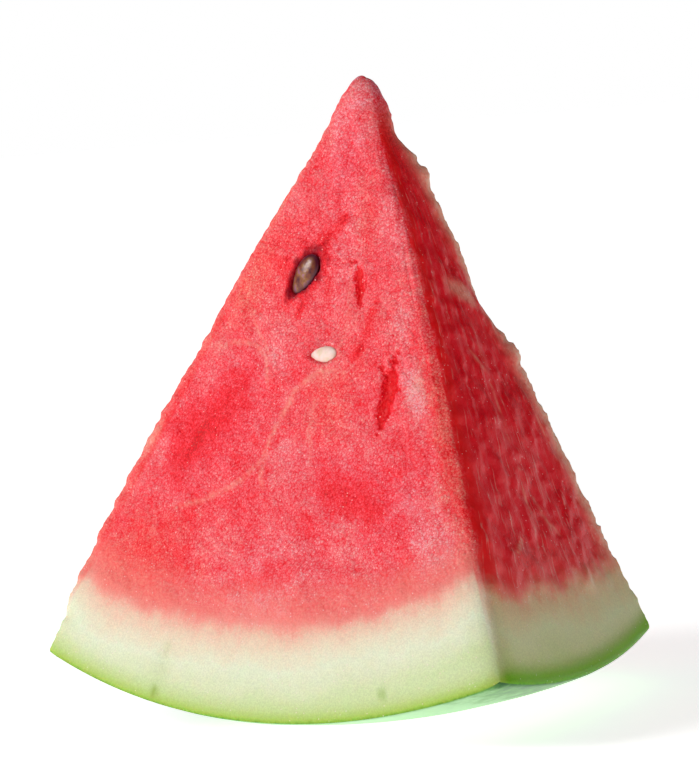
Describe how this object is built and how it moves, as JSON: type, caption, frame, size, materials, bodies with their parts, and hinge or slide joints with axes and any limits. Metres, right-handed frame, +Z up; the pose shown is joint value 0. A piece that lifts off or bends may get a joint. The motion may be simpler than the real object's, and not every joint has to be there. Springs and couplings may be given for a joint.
{
  "type": "watermelon wedge",
  "caption": "Pyramid-shaped wedge of ripe watermelon that stands on its rind, with a rounded tip, flat knife cuts and seeds bedded in the faces.",
  "frame": {"origin": "middle of the small round flat where the rind presses on the table, under the melon's centre", "axes": "+Z up towards the tip; -Y is the side that the broad front cut face looks to; +X along the front cut face, to its right seen from the front"},
  "size_m": [0.105, 0.0692, 0.1191],
  "materials": {
    "melon_flesh": "wet cut flesh, red at the tip, fading through cream and pale green rind to striped green skin",
    "ripe_seed_coat": "hard glossy dark brown coat",
    "unripe_seed_coat": "soft pale cream coat"
  },
  "bodies": {
    "root": {"wedge": "melon_flesh", "dark_seed_front": "ripe_seed_coat", "dark_seed_left": "ripe_seed_coat", "dark_seed_back": "ripe_seed_coat", "pale_seed_front": "unripe_seed_coat", "pale_seed_back": "unripe_seed_coat"}
  },
  "joints": []
}
